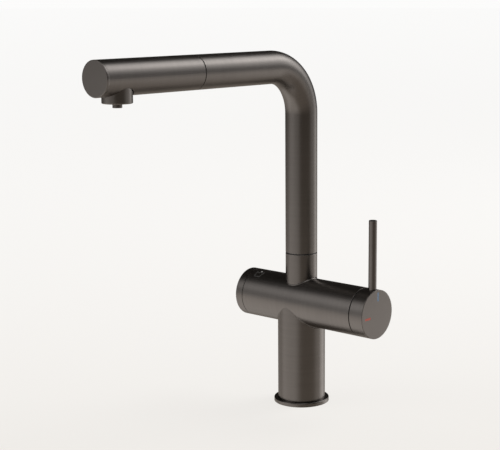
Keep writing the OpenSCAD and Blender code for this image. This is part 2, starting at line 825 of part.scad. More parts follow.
module filter_moving_disc() {
    disc_x = filter_floor_x + filter_disc_floor + filter_disc_t + face_gap;
    color(ceramic_tone) along_minus_x(disc_x) difference() {
        cylinder(d = filter_disc_d - 2 * run_fit, h = filter_disc_t - face_gap);
        translate([0, filter_port_r / 2, -over])
            cube([filter_disc_d, filter_disc_d, filter_disc_t + 2 * over]);
    }
}

// Spout: one bent tube, with the stop screw's hole at its back
module spout_tube() {
    color(gunmetal) difference() {
        along_route(tube_low_z, tube_end_y) tube_profile();
        translate([0, 0, stop_z]) rotate([-90, 0, 0]) cylinder(d = stop_screw_d + 2 * seat_fit, h = tube_d);
    }
}

module swivel_bush() {
    color(pom_tone) difference() {
        translate([0, 0, bush_low_z])
            ring(bore_d - 2 * seat_fit, post_d + 2 * run_fit, bush_top_z - bush_low_z);
        translate([0, 0, stop_z]) rotate([-90, 0, 0]) cylinder(d = stop_screw_d + 2 * seat_fit, h = tube_d);
    }
}

module spout_stop_screw() {
    tip_y = post_d / 2 - stop_groove_depth + stop_tip_gap;
    shoulder_y = post_d / 2 + 2 * stop_tip_gap;
    end_y = tube_d / 2 - stop_screw_recess;
    color(steel_tone) difference() {
        union() {
            translate([0, tip_y, stop_z]) rotate([-90, 0, 0])
                cylinder(d = stop_pin_d - stop_tip_gap, h = end_y - tip_y);
            translate([0, shoulder_y, stop_z]) rotate([-90, 0, 0])
                cylinder(d = stop_screw_d, h = end_y - shoulder_y);
        }
        translate([0, end_y + over, stop_z]) rotate([90, 0, 0])
            cylinder(d = stop_screw_d / 2, h = stop_screw_d / 2 + over, $fn = 6);
    }
}

module dock_sleeve() {
    color(dark_pom_tone) along_spout(tube_end_y - dock_l) ring(dock_out_d, dock_in_d, dock_l);
}

module hose_spout_run() {
    color(hose_tone) along_route(post_top_z + hose_gap, hose_tail_back_y - hose_gap) hose_profile();
}

// Spray: outer shell with the outlet's opening in its underside
module spray_shell() {
    shell_l = spray_face_y - end_cap_t - spray_back_y;
    color(gunmetal) difference() {
        along_spout(spray_back_y) difference() {
            cylinder(d = tube_d, h = shell_l);
            translate([0, 0, shell_lip_l]) cylinder(d = shell_bore_d, h = shell_l);
            translate([0, 0, -over]) cylinder(d = dock_in_d, h = shell_l);
        }
        for (shift = [0, outlet_slack]) translate([0, shift - outlet_y, spout_z - tube_d])
            cylinder(d = outlet_d + 2 * outlet_clear, h = tube_d);
    }
}

module spray_end_cap() {
    color(gunmetal) along_spout(spray_face_y - end_cap_t) difference() {
        union() {
            cylinder(d = tube_d, h = end_cap_t);
            translate([0, 0, -end_cap_spigot_l])
                cylinder(d = shell_bore_d - 2 * seat_fit, h = end_cap_spigot_l + over);
        }
        translate([0, 0, -end_cap_spigot_l - over])
            cylinder(d = shell_bore_d - 2 * end_cap_wall, h = end_cap_spigot_l + over);
    }
}

// Water way body inside the spray: docking collar, connector seat, two ways and the outlet's socket
module spray_core() {
    core_y = spray_back_y + shell_lip_l;
    core_end_y = spray_face_y - end_cap_t - end_cap_spigot_l;
    valve_y = collar_back_y + connector_l;
    ring_y = collar_back_y + dock_ring_inset;
    main_z = spout_z + hose_main_shift;
    filter_z = spout_z + hose_filter_shift;
    color(pom_tone) difference() {
        union() {
            along_spout(core_y) cylinder(d = core_d, h = core_end_y - core_y);
            along_spout(collar_back_y) cylinder(d = collar_d, h = core_y - collar_back_y + over);
        }
        along_spout(collar_back_y - over) cylinder(d = connector_d + 2 * seat_fit, h = connector_l + over);
        along_spout(ring_y) ring(collar_d + 2 * over, collar_d - 2 * dock_ring_depth, dock_ring_w);
        way([0, -valve_y + over, main_z], [0, -valve_y - check_valve_l, main_z],
            check_valve_d + 2 * seat_fit);
        way([0, -valve_y, main_z], [0, -outlet_y + chamber_d / 3, main_z], hose_main_d);
        way([0, -valve_y + over, filter_z], [0, -outlet_y, filter_z], hose_filter_d);
        translate([0, -outlet_y, spout_z - tube_d])
            cylinder(d = outlet_d + 4 * seat_fit, h = tube_d + outlet_top_z - spout_z);
        translate([0, -outlet_y, outlet_top_z - over]) {
            ring(chamber_d, nozzle_d + 2 * outlet_wall, chamber_h + over);
            cylinder(d = nozzle_d + 2 * seat_fit, h = chamber_h + over);
            cylinder(d = nozzle_bore_d, h = filter_z - outlet_top_z + over);
        }
    }
}

module dock_o_ring() {
    color(rubber_tone) along_spout(collar_back_y + dock_ring_inset)
        ring(collar_d, collar_d - 2 * dock_ring_depth, dock_ring_w);
}

module check_valve() {
    color(pom_tone) translate([0, 0, hose_main_shift]) along_spout(collar_back_y + connector_l)
        ring(check_valve_d, check_valve_bore_d, check_valve_l);
}

// Brass ferrule on the hose's end: a hexagon, a threaded spigot and a web with two ways
module hose_connector() {
    color(brass_tone) along_spout(collar_back_y - connector_hex_l) difference() {
        union() {
            cylinder(d = connector_hex_d, h = connector_hex_l, $fn = 6);
            cylinder(d = connector_d, h = connector_hex_l + connector_l);
        }
        translate([0, 0, -over])
            cylinder(d = hose_d + 2 * seat_fit, h = connector_hex_l + connector_l - connector_web + over);
        for (bore = [[hose_main_shift, hose_main_d], [hose_filter_shift, hose_filter_d]])
            translate([0, bore[0], 0]) cylinder(d = bore[1], h = connector_hex_l + connector_l + over);
    }
}

module hose_tail() {
    front_y = collar_back_y + connector_l - connector_web;
    color(hose_tone) along_spout(hose_tail_back_y) rotate([0, 0, 90])
        linear_extrude(front_y - hose_tail_back_y) hose_profile();
}

// Outlet housing with a rounded lower edge and a lip that the insert rests on
module aerator_housing() {
    color(gunmetal) translate([0, -outlet_y, 0]) difference() {
        translate([0, 0, outlet_top_z]) mirror([0, 0, 1]) rounded_disc(outlet_d, outlet_h, outlet_edge_r);
        translate([0, 0, outlet_low_z + outlet_lip_l])
            cylinder(d = outlet_d - 2 * outlet_wall, h = outlet_h);
        translate([0, 0, outlet_low_z - over])
            cylinder(d = outlet_d - 2 * outlet_wall - 2 * outlet_lip_w, h = outlet_h);
    }
}

// Insert that shapes the mixed water: a plate of small jets round the nozzle
module aerator_insert() {
    r = outlet_d / 2 - outlet_wall;
    color(dark_pom_tone) translate([0, -outlet_y, outlet_low_z + outlet_lip_l]) difference() {
        ring(2 * r - 2 * seat_fit, nozzle_d + 2 * seat_fit, insert_t);
        for (i = [0:insert_pegs_in - 1]) rotate(i * 360 / insert_pegs_in)
            translate([r * insert_ring_in_share, 0, -over]) cylinder(d = jet_d, h = insert_t + 2 * over);
        for (i = [0:insert_pegs_out - 1]) rotate(i * 360 / insert_pegs_out)
            translate([r * insert_ring_out_share, 0, -over]) cylinder(d = jet_d, h = insert_t + 2 * over);
    }
}

module aerator_seal() {
    out_d = outlet_d - 2 * outlet_wall - 2 * seat_fit;
    color(rubber_tone) translate([0, -outlet_y, outlet_low_z + outlet_lip_l + insert_t])
        ring(out_d, out_d - 2 * outlet_seal_w, outlet_seal_t);
}

// Nozzle for filtered water, plugged into the core above and standing out below
module filter_nozzle() {
    low_z = outlet_low_z - nozzle_stand;
    color(gunmetal) translate([0, -outlet_y, low_z]) difference() {
        union() {
            cylinder(d = nozzle_d, h = outlet_top_z + chamber_h - low_z - face_gap);
            translate([0, 0, outlet_low_z + outlet_lip_l + insert_t - low_z])
                cylinder(d = nozzle_d + 2 * nozzle_head_h, h = nozzle_head_h);
        }
        translate([0, 0, -over])
            cylinder(d = nozzle_bore_d, h = outlet_top_z + chamber_h - low_z + 2 * over);
    }
}

body_casting();
base_ring();
base_seal();
inlet_block();
riser_pipes();
mounting_shank();
rubber_washer();
clamp_washer();
shank_nut();
clamp_screws();
cartridge_base();
cartridge_seals();
cartridge_fixed_disc();
cartridge_housing();
cartridge_nut();
mixer_glide_ring();
filter_valve_body();
filter_valve_seal();
filter_fixed_disc();
filter_glide_ring();
swivel_post();
swivel_o_rings();
swivel_glide_ring();
hose_body_run();
mixer_cap();
lever_rod();
cap_grub_screw();
cartridge_spindle();
cartridge_moving_disc();
cold_mark();
hot_mark();
filter_knob();
knob_grub_screw();
filter_spindle();
filter_moving_disc();
spout_tube();
swivel_bush();
spout_stop_screw();
dock_sleeve();
hose_spout_run();
spray_shell();
spray_end_cap();
spray_core();
dock_o_ring();
check_valve();
hose_connector();
hose_tail();
aerator_housing();
aerator_insert();
aerator_seal();
filter_nozzle();
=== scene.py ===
"""Looks for the filter kitchen mixer tap: brushed gunmetal outside, brass, steel, acetal and ceramic inside.

Metres, in the CAD frame: Z is up, the deck is at z = 0, the spout points along -Y and the lever is at +X.
"""

import json
import math

import bmesh
import bpy
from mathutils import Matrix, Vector


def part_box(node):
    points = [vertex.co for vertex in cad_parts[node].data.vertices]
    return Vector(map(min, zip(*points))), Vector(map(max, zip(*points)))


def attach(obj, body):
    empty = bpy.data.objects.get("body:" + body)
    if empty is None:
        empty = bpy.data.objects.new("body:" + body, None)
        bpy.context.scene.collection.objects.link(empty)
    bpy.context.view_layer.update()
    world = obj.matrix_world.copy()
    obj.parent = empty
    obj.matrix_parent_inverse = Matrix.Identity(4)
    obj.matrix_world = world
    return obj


MM = 0.001
X, Y, Z = 0, 1, 2
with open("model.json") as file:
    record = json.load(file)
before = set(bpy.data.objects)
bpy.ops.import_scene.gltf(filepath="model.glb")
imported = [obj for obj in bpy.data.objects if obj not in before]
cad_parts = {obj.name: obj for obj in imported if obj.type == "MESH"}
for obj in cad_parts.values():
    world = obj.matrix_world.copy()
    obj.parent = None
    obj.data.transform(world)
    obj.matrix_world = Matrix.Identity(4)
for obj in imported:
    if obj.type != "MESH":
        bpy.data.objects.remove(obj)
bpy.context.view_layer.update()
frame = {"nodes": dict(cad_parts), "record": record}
nodes = frame["nodes"]

# Places taken from the frame
cap_low, cap_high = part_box("mixer_cap")
knob_low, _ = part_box("filter_knob")
_, tube_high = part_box("spout_tube")
screw_low, screw_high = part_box("clamp_screws")
BAR_R = (cap_high.z - cap_low.z) / 2
BAR_Z = (cap_high.z + cap_low.z) / 2
BAR_RIGHT = cap_high.x
BAR_LEFT = knob_low.x
TUBE_R = tube_high.x
SPOUT_Z = tube_high.z - TUBE_R
SCREW_APART = screw_high.x - (screw_high.y - screw_low.y) / 2

# Sizes of the source that no node's box gives
COLUMN_R = 24 * MM
BEND_R = 47 * MM

# ---------------------------------------------------------------- camera

CAMERA_AT = Vector((0.8459, -1.0006, 0.4156))
CAMERA_AZIMUTH = 39.84
CAMERA_PITCH = 10.09
IMAGE_W = 500
FOCAL_PX = 1321.1  # focal length, in pixels of the image
CENTRE_PX = 309.8  # column of the image that the camera points at
SENSOR_MM = 36.0
CLIP_NEAR = 0.05
CLIP_FAR = 100


def make_camera():
    data = bpy.data.cameras.new("camera")
    data.sensor_fit = "HORIZONTAL"
    data.sensor_width = SENSOR_MM
    data.lens = FOCAL_PX * SENSOR_MM / IMAGE_W
    data.shift_x = (IMAGE_W / 2 - CENTRE_PX) / IMAGE_W
    data.clip_start = CLIP_NEAR
    data.clip_end = CLIP_FAR
    camera = bpy.data.objects.new("camera", data)
    camera.location = CAMERA_AT
    camera.rotation_euler = (math.radians(90 - CAMERA_PITCH), 0, math.radians(CAMERA_AZIMUTH))
    bpy.context.scene.collection.objects.link(camera)
    bpy.context.scene.camera = camera


# ---------------------------------------------------------------- node helpers

# Sockets of a mix node that belong to its colours
MIX_FACTOR, MIX_A, MIX_B = 0, 6, 7
MIX_RESULT = 2


class Nodes:
    """Adds shader nodes to an emptied tree. An input is a plain value or the output of another node."""

    def __init__(self, tree):
        self.tree = tree
        self.tree.nodes.clear()

    def put(self, socket, value):
        if isinstance(value, bpy.types.NodeSocket):
            self.tree.links.new(value, socket)
        else:
            socket.default_value = value

    def add(self, kind, settings=None, **inputs):
        node = self.tree.nodes.new(kind)
        for key, value in (settings or {}).items():
            setattr(node, key, value)
        for key, value in inputs.items():
            self.put(node.inputs[key.replace("_", " ")], value)
        return node

    def math(self, operation, a, b=0.0, c=0.0, clamp=False):
        node = self.add("ShaderNodeMath", {"operation": operation, "use_clamp": clamp})
        for socket, value in zip(node.inputs, (a, b, c)):
            self.put(socket, value)
        return node.outputs[0]

    def vector(self, operation, a, b):
        node = self.add("ShaderNodeVectorMath", {"operation": operation})
        for socket, value in zip(node.inputs, (a, b)):
            self.put(socket, value)
        return node

    def step(self, value, low, high, out_low=0.0, out_high=1.0):
        """A smooth step from out_low, where value is low, to out_high, where it is high."""
        node = self.add("ShaderNodeMapRange", {"interpolation_type": "SMOOTHSTEP"}, Value=value,
                        From_Min=low, From_Max=high, To_Min=out_low, To_Max=out_high)
        return node.outputs[0]

    def mix(self, factor, a, b):
        node = self.add("ShaderNodeMix", {"data_type": "RGBA"})
        self.put(node.inputs[MIX_FACTOR], factor)
        self.put(node.inputs[MIX_A], a)
        self.put(node.inputs[MIX_B], b)
        return node.outputs[MIX_RESULT]

    def noise(self, vector, scale, detail=3.0):
        return self.add("ShaderNodeTexNoise", Vector=vector, Scale=scale, Detail=detail).outputs[0]

    def split(self, vector):
        return self.add("ShaderNodeSeparateXYZ", Vector=vector).outputs

    def either(self, choice, no, yes):
        """One shader where choice is 0 and the other where it is 1."""
        node = self.add("ShaderNodeMixShader", Fac=choice)
        self.put(node.inputs[1], no)
        self.put(node.inputs[2], yes)
        return node.outputs[0]

    def both(self, one, other):
        """The sum of two shaders."""
        node = self.add("ShaderNodeAddShader")
        self.put(node.inputs[0], one)
        self.put(node.inputs[1], other)
        return node.outputs[0]


# ---------------------------------------------------------------- world, floor and lamps

# The studio that the metal reflects: a dim warm room, lighter below the horizon, with soft lamps and cards.
# Each glow: azimuth from +X, elevation, the angles where it starts and stops fading, and its strength.
GLOWS = [
    (69, 22, 0, 25, 2.1),  # softbox behind on the right
    (73, 41, 0, 21, 2.8),  # its brighter top
    (73, -15, 0, 24, 1.3),  # the same softbox in the table
    (36, -9, 5, 24, 0.38),  # card on the right
    (-118, 30, 0, 30, 1.25),  # window on the left
    (-120, -30, 25, 45, 0.56),  # the window in the table
    (-75, -15, 0, 20, 0.42),  # card beside the camera
    (-165, -35, 30, 35, 0.2),  # pale wall on the far left
    (60, -52, 0, 25, 0.15),  # table in front of the softbox
    (-180, -52, 5, 24, 0.35),  # table on the far left
    (-45, 65, 5, 30, 1.4),  # overhead lamp
    (10, -80, 0, 25, 0.45),  # table right under the tap
]
ROOM_ABOVE = 0.028
ROOM_BELOW = 0.41
ROOM_FROM = -3  # elevation from which the room gets lighter downwards
ROOM_TO = -12  # elevation where it is as light as ROOM_BELOW
ROOM_TINT = (1.0, 0.89, 0.78, 1)
LAMP_TINT = (1.0, 1.006, 1.02, 1)

# Even light for all surfaces that aren't glossy
PLAIN_LIGHT = 0.75
PLAIN_TINT = (1, 1, 1, 1)

# The ground that the camera sees, far behind the tap and close to the camera
BACKGROUND_FAR = (0.975, 0.972, 0.965, 1)
BACKGROUND_NEAR = (0.845, 0.822, 0.79, 1)


def direction(azimuth, elevation):
    a, e = math.radians(azimuth), math.radians(elevation)
    return Vector((math.cos(a) * math.cos(e), math.sin(a) * math.cos(e), math.sin(e)))


def make_studio(n):
    """What glossy rays see: the room and the glows in it."""
    way = n.add("ShaderNodeTexCoord").outputs["Generated"]
    room_low, room_high = math.sin(math.radians(ROOM_TO)), math.sin(math.radians(ROOM_FROM))
    room = n.step(n.split(way)[Z], room_low, room_high, ROOM_BELOW, ROOM_ABOVE)
    level = 0.0
    for azimuth, elevation, inner, outer, strength in GLOWS:
        facing = n.vector("DOT_PRODUCT", way, direction(azimuth, elevation)).outputs["Value"]
        glow = n.step(facing, math.cos(math.radians(outer)), math.cos(math.radians(inner)), 0.0, strength)
        level = n.math("ADD", glow, level)
    dim = n.add("ShaderNodeBackground", Color=ROOM_TINT, Strength=room)
    bright = n.add("ShaderNodeBackground", Color=LAMP_TINT, Strength=level)
    return n.both(dim.outputs[0], bright.outputs[0])


def make_world():
    world = bpy.data.worlds.new("studio")
    bpy.context.scene.world = world
    world.use_nodes = True
    n = Nodes(world.node_tree)
    ray = n.add("ShaderNodeLightPath").outputs
    plain = n.add("ShaderNodeBackground", Color=PLAIN_TINT, Strength=PLAIN_LIGHT)
    backdrop = n.add("ShaderNodeBackground", Color=BACKGROUND_FAR, Strength=1.0)
    unseen = n.either(ray["Is Diffuse Ray"], make_studio(n), plain.outputs[0])
    shown = n.either(ray["Is Camera Ray"], unseen, backdrop.outputs[0])
    n.add("ShaderNodeOutputWorld", Surface=shown)


TAP_HOLE_R = 17.5 * MM
FLOOR_RINGS = (TAP_HOLE_R, 0.2, 2.0, 30.0)
FLOOR_TURNS = 96
FLOOR_PALE = (0.8, 0.79, 0.77, 1)  # the floor for all rays but the camera's

# What the camera sees of the floor: an even tone of its own, and a share of lit colour that takes the shadow
FLOOR_GLOW = 0.905
FLOOR_SHADOW = 0.1

# The even tone goes from near to far as 1 - FADE_HALF / distance, measured along FADE_WAY from FADE_START
FADE_WAY = (-0.64, 0.77, 0)
FADE_START = -1.31
FADE_HALF = 1.16
FADE_MIN = 1.0


def make_floor_mesh():
    mesh = bpy.data.meshes.new("floor")
    bm = bmesh.new()
    angles = [2 * math.pi * i / FLOOR_TURNS for i in range(FLOOR_TURNS)]
    rings = []
    for radius in FLOOR_RINGS:
        rings.append([bm.verts.new((radius * math.cos(a), radius * math.sin(a), 0)) for a in angles])
    for inner, outer in zip(rings, rings[1:]):
        for i in range(FLOOR_TURNS):
            j = (i + 1) % FLOOR_TURNS
            bm.faces.new((inner[i], outer[i], outer[j], inner[j]))
    bm.to_mesh(mesh)
    bm.free()
    return mesh


def make_floor_material():
    material = bpy.data.materials.new("floor")
    material.use_nodes = True
    n = Nodes(material.node_tree)
    ray = n.add("ShaderNodeLightPath").outputs
    spot = n.add("ShaderNodeNewGeometry").outputs["Position"]
    along = n.math("SUBTRACT", n.vector("DOT_PRODUCT", spot, FADE_WAY).outputs["Value"], FADE_START)
    nearness = n.math("DIVIDE", FADE_HALF, n.math("MAXIMUM", along, FADE_MIN))
    tone = n.mix(n.math("SUBTRACT", 1.0, nearness, clamp=True), BACKGROUND_NEAR, BACKGROUND_FAR)
    glow = n.add("ShaderNodeEmission", Color=tone, Strength=FLOOR_GLOW)
    matt = n.add("ShaderNodeBsdfDiffuse", Color=n.mix(FLOOR_SHADOW, (0, 0, 0, 1), tone))
    pale = n.add("ShaderNodeBsdfDiffuse", Color=FLOOR_PALE)
    seen = n.both(glow.outputs[0], matt.outputs[0])
    n.add("ShaderNodeOutputMaterial", Surface=n.either(ray["Is Camera Ray"], pale.outputs[0], seen))
    return material


def make_floor():
    """A deck plane with the tap hole in it, pale and slowly lighter towards the far side."""
    floor = bpy.data.objects.new("floor", make_floor_mesh())
    floor.data.materials.append(make_floor_material())
    floor.visible_glossy = False
    bpy.context.scene.collection.objects.link(floor)


LAMPS_AIM = Vector((0, -0.1, 0.2))


def make_lamp(name, azimuth, elevation, distance, size, power):
    data = bpy.data.lights.new(name, "AREA")
    data.shape = "DISK"
    data.size = size
    data.energy = power
    lamp = bpy.data.objects.new(name, data)
    way = direction(azimuth, elevation)
    lamp.location = LAMPS_AIM + way * distance
    lamp.rotation_mode = "QUATERNION"
    lamp.rotation_quaternion = way.to_track_quat("Z", "Y")
    lamp.visible_glossy = False
    bpy.context.scene.collection.objects.link(lamp)


# ---------------------------------------------------------------- helpers for the materials

# Where a step on noise starts and ends; most noise lies round 0.5
MIDDLE = (0.3, 0.7)
WIDE = (0.25, 0.75)
UPPER = (0.35, 0.75)
TOP = (0.4, 0.7)

RELIEF = 0.02 * MM


def new_material(name, **inputs):
    material = bpy.data.materials.new(name)
    material.use_nodes = True
    n = Nodes(material.node_tree)
    shader = n.add("ShaderNodeBsdfPrincipled", **inputs)
    n.add("ShaderNodeOutputMaterial", Surface=shader.outputs[0])
    return material, n, shader


def place(n):
    return n.add("ShaderNodeTexCoord").outputs["Object"]


def lines_round(n, axis, fine, slow):
    """Coordinates scaled apart, so that noise of scale 1 becomes fine lines that run round the axis."""
    scales = [slow] * 3
    scales[axis] = fine
    return n.vector("MULTIPLY", place(n), scales).outputs[0]


def shade(colour, factor=1.0):
    return tuple(c * factor for c in colour) + (1,)


def bump(n, height, strength, depth, under=None):
    """Normal of a relief that lies on the normal under."""
    node = n.add("ShaderNodeBump", Height=height, Strength=strength, Distance=depth)
    if under is not None:
        n.put(node.inputs["Normal"], under)
    return node.outputs[0]


# ---------------------------------------------------------------- gunmetal

GUNMETAL = (0.169, 0.154, 0.142)
GUNMETAL_DARK = shade(GUNMETAL, 0.97)
GUNMETAL_LIGHT = shade(GUNMETAL, 1.03)
GUNMETAL_BAND = shade(GUNMETAL, 1.07)
BAND_SHARE = 0.6
GUNMETAL_ROUGH = 0.34
NOZZLE_ROUGH = 0.55
ROUGH_SPREAD = 0.03
STREAK_STRENGTH = 0.05

# How often brush lines, the wider bands among them, their changes along the line and clouds repeat in a metre
STREAKS_PER_M = 2600
BANDS_PER_M = 330
SLOW_PER_M = 12
CLOUDS_PER_M = 35

# The shader rounds the edges by these radii
EDGE_R = 0.5 * MM
CAST_EDGE_R = 0.8 * MM
FINE_EDGE_R = 0.2 * MM
RIM_EDGE_R = 1.2 * MM
RIM_BAND = 1.6 * MM
EDGE_SAMPLES = 6

SKIN = 0.1 * MM  # added to the crossbar's radius to hold its own surface


def round_axis(axis):
    """Brush lines that run round one axis."""
    return lambda n, fine: lines_round(n, axis, fine, SLOW_PER_M)


def off_bar_axis(n, parts):
    """Distance from the crossbar's axis."""
    across = n.math("SUBTRACT", parts[Z], BAR_Z)
    return n.math("SQRT", n.math("MULTIPLY_ADD", across, across, n.math("MULTIPLY", parts[Y], parts[Y])))


def round_casting(n, fine):
    """Brush lines round the crossbar where the surface is the crossbar's, and round the column elsewhere."""
    on_bar = n.math("LESS_THAN", off_bar_axis(n, n.split(place(n))), BAR_R + SKIN)
    return n.mix(on_bar, lines_round(n, Z, fine, SLOW_PER_M), lines_round(n, X, fine, SLOW_PER_M))


def round_spout(n, fine):
    """Brush lines round the bent tube: riser, bend and level run share one length along the tube."""
    parts = n.split(place(n))
    ahead = n.math("ADD", parts[Y], BEND_R)
    above = n.math("SUBTRACT", parts[Z], SPOUT_Z - BEND_R)
    turn = n.math("MINIMUM", n.math("MAXIMUM", n.math("ARCTAN2", above, ahead), 0.0), math.pi / 2)
    straight = n.math("SUBTRACT", n.math("MINIMUM", above, 0.0), n.math("MINIMUM", ahead, 0.0))
    length = n.math("MULTIPLY_ADD", turn, BEND_R, straight)
    lines = n.add("ShaderNodeCombineXYZ", X=n.math("MULTIPLY", parts[X], SLOW_PER_M),
                  Y=n.math("MULTIPLY", length, fine), Z=n.math("MULTIPLY", above, SLOW_PER_M))
    return lines.outputs[0]


def bar_end_rims(n):
    """Edge radius that is full at the rims of the crossbar's two end faces and fine at every other edge."""
    parts = n.split(place(n))
    at_skin = n.math("GREATER_THAN", off_bar_axis(n, parts), BAR_R - RIM_BAND)
    right = n.math("GREATER_THAN", parts[X], BAR_RIGHT - RIM_BAND)
    left = n.math("LESS_THAN", parts[X], BAR_LEFT + RIM_BAND)
    at_rim = n.math("MULTIPLY", at_skin, n.math("ADD", right, left))
    return n.math("MULTIPLY_ADD", at_rim, RIM_EDGE_R - FINE_EDGE_R, FINE_EDGE_R)


def gunmetal(name, brush, edge=EDGE_R, rough=GUNMETAL_ROUGH):
    """Brushed dark bronze. brush gives the coordinates of its lines for a number of lines in a metre.

    edge is the radius that the edges are rounded by, or a function that gives it for each place.
    """
    material, n, shader = new_material(name, Metallic=1.0)
    streaks = n.noise(brush(n, STREAKS_PER_M), 1.0)
    bands = n.noise(brush(n, BANDS_PER_M), 1.0, 4.0)
    clouds = n.noise(place(n), CLOUDS_PER_M)
    tone = n.mix(n.step(clouds, *MIDDLE), GUNMETAL_DARK, GUNMETAL_LIGHT)
    tone = n.mix(n.step(bands, *MIDDLE, 0.0, BAND_SHARE), tone, GUNMETAL_BAND)
    radius = edge(n) if callable(edge) else edge
    soft_edge = n.add("ShaderNodeBevel", {"samples": EDGE_SAMPLES}, Radius=radius).outputs[0]
    n.put(shader.inputs["Base Color"], tone)
    n.put(shader.inputs["Roughness"], n.step(streaks, *WIDE, rough - ROUGH_SPREAD, rough + ROUGH_SPREAD))
    n.put(shader.inputs["Normal"], bump(n, streaks, STREAK_STRENGTH, RELIEF, soft_edge))
    return material


# ---------------------------------------------------------------- brass and steel

BRASS = (0.69, 0.52, 0.26)
STEEL = (0.56, 0.57, 0.58)
BRASS_ROUGH = 0.32
STEEL_ROUGH = 0.3
THREAD_ROUGH = 0.28
SHANK_PITCH = 1.5 * MM
SCREW_PITCH = 0.8 * MM

# Tool marks, and the darker stains
MARKS_PER_M = 1500
MARKS_SLOW_PER_M = 20
MARK_SPREAD = 0.05
MARK_STRENGTH = 0.25
STAINS_PER_M = 90
STAIN_SHADE = 0.82
STAIN_SHARE = 0.7


def thread(n, pitch, apart):
    """Screw thread along Z, on one screw or on a pair that stands apart from the middle along X."""
    parts = n.split(place(n))
    side = n.math("SUBTRACT", n.math("ABSOLUTE", parts[X]), apart) if apart else parts[X]
    turn = n.math("DIVIDE", n.math("ARCTAN2", parts[Y], side), 2 * math.pi)
    ridge = n.math("PINGPONG", n.math("SUBTRACT", n.math("DIVIDE", parts[Z], pitch), turn), 0.5)
    return bump(n, ridge, 1.0, pitch)


def metal(name, colour, rough, axis, pitch=None, apart=0.0):
    """Turned or drawn bare metal with fine tool marks round one axis, and a screw thread if it has a pitch."""
    material, n, shader = new_material(name, Metallic=1.0)
    marks = n.noise(lines_round(n, axis, MARKS_PER_M, MARKS_SLOW_PER_M), 1.0)
    stains = n.noise(place(n), STAINS_PER_M)
    tone = n.mix(n.step(stains, *UPPER, 0.0, STAIN_SHARE), shade(colour), shade(colour, STAIN_SHADE))
    under = thread(n, pitch, apart) if pitch else None
    n.put(shader.inputs["Base Color"], tone)
    n.put(shader.inputs["Roughness"], n.step(marks, *MIDDLE, rough - MARK_SPREAD, rough + MARK_SPREAD))
    n.put(shader.inputs["Normal"], bump(n, marks, MARK_STRENGTH, RELIEF, under))
    return material


# ---------------------------------------------------------------- moulded materials, paint and braid

GRAINS_PER_M = 900
CERAMIC_GRAINS_PER_M = 400
GRAIN_STRENGTH = 0.2
GRAIN_SPREAD = 0.05
MOULD_CLOUDS_PER_M = 60
MOULD_SHADE = 0.9
PAINT_SPECULAR = 0.2


def moulded(name, colour, rough, grains_per_m=GRAINS_PER_M, specular=0.5):
    """Moulded plastic, rubber or ceramic, enamel or paint, with a fine grain."""
    material, n, shader = new_material(name, Specular_IOR_Level=specular)
    grains = n.noise(place(n), grains_per_m, 2.0)
    clouds = n.noise(place(n), MOULD_CLOUDS_PER_M)
    n.put(shader.inputs["Base Color"], n.mix(n.step(clouds, *MIDDLE), shade(colour, MOULD_SHADE), shade(colour)))
    n.put(shader.inputs["Roughness"], n.step(grains, *MIDDLE, rough - GRAIN_SPREAD, rough + GRAIN_SPREAD))
    n.put(shader.inputs["Normal"], bump(n, grains, GRAIN_STRENGTH, RELIEF))
    return material


BRAID_ENDS = 16
BRAID_PITCH = 24 * MM
BRAID_DEPTH = 0.4 * MM
BRAID_STRENGTH = 0.8
BRAID_ROUGH = 0.5
BRAID_GAP = (0.05, 0.052, 0.055, 1)
BRAID_YARN = (0.24, 0.245, 0.25, 1)
BRAID_FLECK = (0.33, 0.33, 0.33, 1)
WEAVE_EDGE = 0.7  # the yarn fades out between this much of the weave's height above and below the middle
FLECKS_PER_M = 700
FLECK_SHARE = 0.3
BODY_AXIS = (0, 0, 0)
SPOUT_AXIS = (0, 0, SPOUT_Z)


def braided(name, axis, centre):
    """Braid of grey yarn round a hose: two sets of strands that wind opposite ways over one another."""
    material, n, shader = new_material(name, Roughness=BRAID_ROUGH)
    parts = n.split(n.vector("SUBTRACT", place(n), centre).outputs[0])
    first, second = [i for i in (X, Y, Z) if i != axis]
    turn = n.math("MULTIPLY", n.math("ARCTAN2", parts[second], parts[first]), BRAID_ENDS)
    climb = n.math("MULTIPLY", parts[axis], 2 * math.pi * BRAID_ENDS / BRAID_PITCH)
    left = n.math("SINE", n.math("ADD", turn, climb))
    right = n.math("SINE", n.math("SUBTRACT", turn, climb))
    yarn = n.step(n.math("MULTIPLY", left, right), -WEAVE_EDGE, WEAVE_EDGE)
    flecks = n.step(n.noise(place(n), FLECKS_PER_M), *TOP, 0.0, FLECK_SHARE)
    n.put(shader.inputs["Base Color"], n.mix(flecks, n.mix(yarn, BRAID_GAP, BRAID_YARN), BRAID_FLECK))
    n.put(shader.inputs["Normal"], bump(n, yarn, BRAID_STRENGTH, BRAID_DEPTH))
    return material


# ---------------------------------------------------------------- which node is made of what


